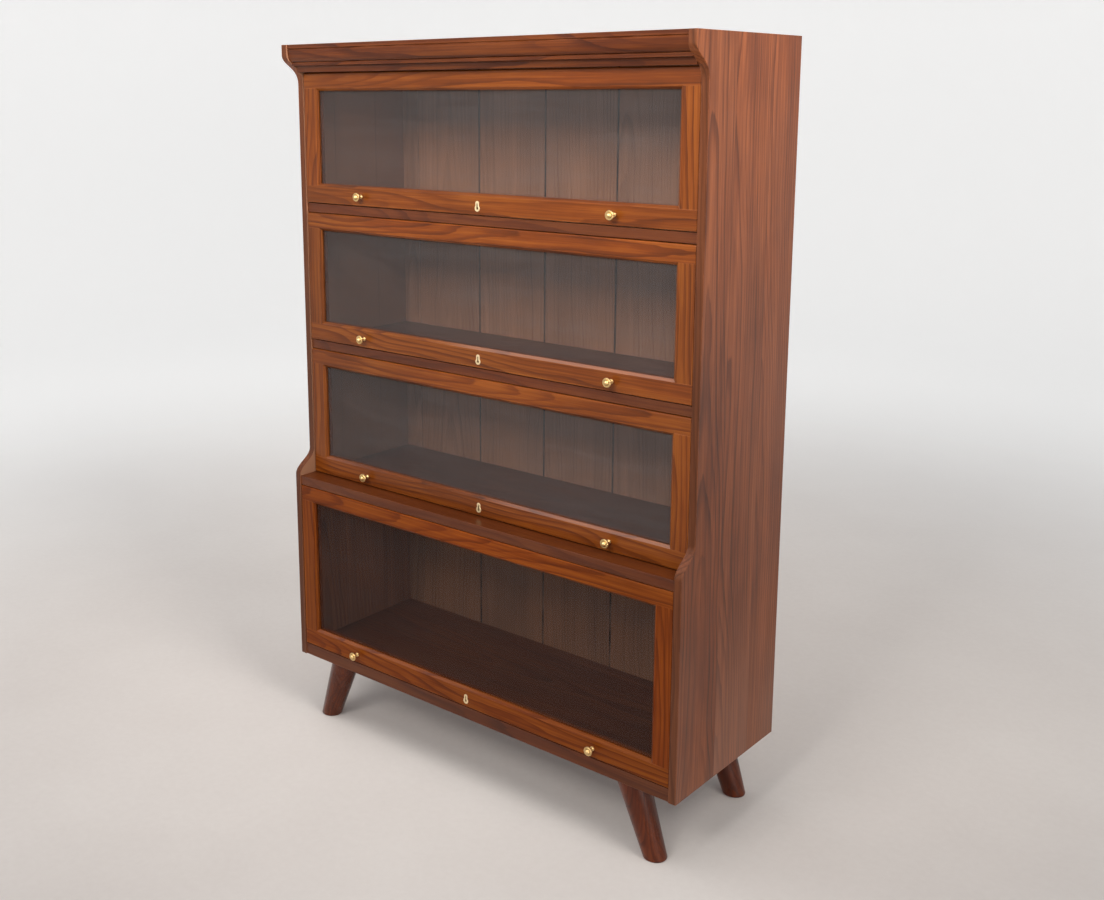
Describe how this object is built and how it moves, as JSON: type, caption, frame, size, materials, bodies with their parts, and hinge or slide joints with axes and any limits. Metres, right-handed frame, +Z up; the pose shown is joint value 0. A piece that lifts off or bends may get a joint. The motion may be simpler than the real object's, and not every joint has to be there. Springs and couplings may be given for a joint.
{
  "type": "barrister bookcase",
  "caption": "Teak barrister bookcase: stacked glazed doors that swing up and slide back over the shelves, a deeper lower case, moulded cornice and splayed round legs.",
  "frame": {"origin": "middle of the footprint on the floor, knobs included", "axes": "+Z up, +Y towards the back of the case, +X to the right seen from the front"},
  "size_m": [1.04, 0.389, 1.547],
  "materials": {
    "side_teak": "satin varnish, long grain upright",
    "shelf_teak": "satin varnish, long grain across",
    "door_teak": "satin varnish",
    "bead_teak": "satin varnish",
    "cornice_teak": "satin varnish",
    "leg_teak": "semi-gloss varnish, dark",
    "back_teak": "satin varnish, matt behind",
    "glass": "clear float glass",
    "brass": "polished, lacquered",
    "lock_brass": "dull",
    "screw_steel": "zinc plated"
  },
  "bodies": {
    "case": {"back_board_left": "back_teak", "back_board_right": "back_teak", "back_boards_middle": "back_teak", "back_screws": "screw_steel", "bottom_board": "shelf_teak", "cornice_moulding": "cornice_teak", "ledge_shelf": "shelf_teak", "leg_back_left": "leg_teak", "leg_back_right": "leg_teak", "leg_front_left": "leg_teak", "leg_front_right": "leg_teak", "middle_shelf": "shelf_teak", "side_panel_left": "side_teak", "side_panel_right": "side_teak", "top_board": "shelf_teak", "upper_shelf": "shelf_teak"},
    "door_1_runners": {"door_1_pivots": "brass"},
    "door_1": {"door_1_bottom_rail": "door_teak", "door_1_escutcheon": "brass", "door_1_glass": "glass", "door_1_glass_beads": "bead_teak", "door_1_knobs": "brass", "door_1_lock": "lock_brass", "door_1_stile_left": "door_teak", "door_1_stile_right": "door_teak", "door_1_top_rail": "door_teak"},
    "door_1_bolt": {"door_1_lock_bolt": "lock_brass"},
    "door_2_runners": {"door_2_pivots": "brass"},
    "door_2": {"door_2_bottom_rail": "door_teak", "door_2_escutcheon": "brass", "door_2_glass": "glass", "door_2_glass_beads": "bead_teak", "door_2_knobs": "brass", "door_2_lock": "lock_brass", "door_2_stile_left": "door_teak", "door_2_stile_right": "door_teak", "door_2_top_rail": "door_teak"},
    "door_2_bolt": {"door_2_lock_bolt": "lock_brass"},
    "door_3_runners": {"door_3_pivots": "brass"},
    "door_3": {"door_3_bottom_rail": "door_teak", "door_3_escutcheon": "brass", "door_3_glass": "glass", "door_3_glass_beads": "bead_teak", "door_3_knobs": "brass", "door_3_lock": "lock_brass", "door_3_stile_left": "door_teak", "door_3_stile_right": "door_teak", "door_3_top_rail": "door_teak"},
    "door_3_bolt": {"door_3_lock_bolt": "lock_brass"},
    "door_4_runners": {"door_4_pivots": "brass"},
    "door_4": {"door_4_bottom_rail": "door_teak", "door_4_escutcheon": "brass", "door_4_glass": "glass", "door_4_glass_beads": "bead_teak", "door_4_knobs": "brass", "door_4_lock": "lock_brass", "door_4_stile_left": "door_teak", "door_4_stile_right": "door_teak", "door_4_top_rail": "door_teak"},
    "door_4_bolt": {"door_4_lock_bolt": "lock_brass"}
  },
  "joints": [
    {"name": "door_1_slide", "type": "slide", "parent": "case", "child": "door_1_runners", "axis": [0, 1, 0], "range_m": [0, 0.2]},
    {"name": "door_1_hinge", "type": "hinge", "parent": "door_1_runners", "child": "door_1", "pos_m": [0, -0.1205, 1.4683], "axis": [-1, 0, 0], "range_deg": [0, 90]},
    {"name": "door_1_bolt_throw", "type": "slide", "parent": "door_1", "child": "door_1_bolt", "axis": [0, 0, -1], "range_m": [0, 0.007]},
    {"name": "door_2_slide", "type": "slide", "parent": "case", "child": "door_2_runners", "axis": [0, 1, 0], "range_m": [0, 0.222]},
    {"name": "door_2_hinge", "type": "hinge", "parent": "door_2_runners", "child": "door_2", "pos_m": [0, -0.1205, 1.1648], "axis": [-1, 0, 0], "range_deg": [0, 90]},
    {"name": "door_2_bolt_throw", "type": "slide", "parent": "door_2", "child": "door_2_bolt", "axis": [0, 0, -1], "range_m": [0, 0.007]},
    {"name": "door_3_slide", "type": "slide", "parent": "case", "child": "door_3_runners", "axis": [0, 1, 0], "range_m": [0, 0.222]},
    {"name": "door_3_hinge", "type": "hinge", "parent": "door_3_runners", "child": "door_3", "pos_m": [0, -0.1205, 0.8558], "axis": [-1, 0, 0], "range_deg": [0, 90]},
    {"name": "door_3_bolt_throw", "type": "slide", "parent": "door_3", "child": "door_3_bolt", "axis": [0, 0, -1], "range_m": [0, 0.007]},
    {"name": "door_4_slide", "type": "slide", "parent": "case", "child": "door_4_runners", "axis": [0, 1, 0], "range_m": [0, 0.3]},
    {"name": "door_4_hinge", "type": "hinge", "parent": "door_4_runners", "child": "door_4", "pos_m": [0, -0.1645, 0.5418], "axis": [-1, 0, 0], "range_deg": [0, 90]},
    {"name": "door_4_bolt_throw", "type": "slide", "parent": "door_4", "child": "door_4_bolt", "axis": [0, 0, -1], "range_m": [0, 0.007]}
  ]
}
